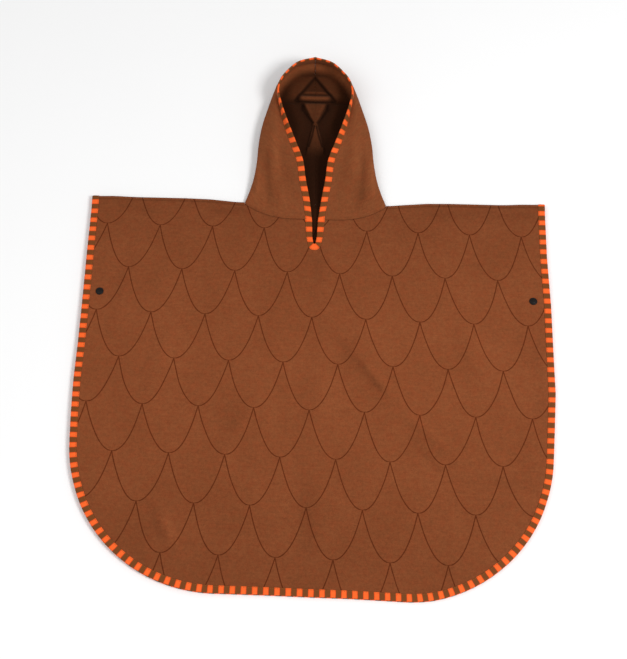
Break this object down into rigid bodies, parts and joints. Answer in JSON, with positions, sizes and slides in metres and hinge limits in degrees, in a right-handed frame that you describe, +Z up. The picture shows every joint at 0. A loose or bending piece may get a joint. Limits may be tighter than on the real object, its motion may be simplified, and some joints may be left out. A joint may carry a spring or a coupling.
{
  "type": "hooded bath poncho",
  "caption": "Child's hooded cotton poncho towel laid flat on its back, with rounded lower corners, a striped bound edge, an open hood with a neck slit, and side snaps",
  "frame": {"origin": "middle of the bounding box at the level of the surface the garment lies on", "axes": "+X across the garment, +Y from the hem to the hood, +Z up from the surface, out of the front panel"},
  "size_m": [0.7054, 0.8744, 0.04],
  "materials": {
    "body_cloth": "smooth brown cotton with a fish-scale line repeat",
    "hood_cloth": "plain smooth brown cotton",
    "binding_strip": "woven strip striped in orange and brown",
    "snap_plastic": "smooth black plastic"
  },
  "bodies": {
    "root": {"body_front": "body_cloth", "body_back": "body_cloth", "hood_left": "hood_cloth", "hood_right": "hood_cloth", "binding_edge": "binding_strip", "binding_opening": "binding_strip", "snap_left_cap": "snap_plastic", "snap_left_socket": "snap_plastic", "snap_left_stud": "snap_plastic", "snap_left_back_cap": "snap_plastic", "snap_right_cap": "snap_plastic", "snap_right_socket": "snap_plastic", "snap_right_stud": "snap_plastic", "snap_right_back_cap": "snap_plastic"}
  },
  "joints": []
}
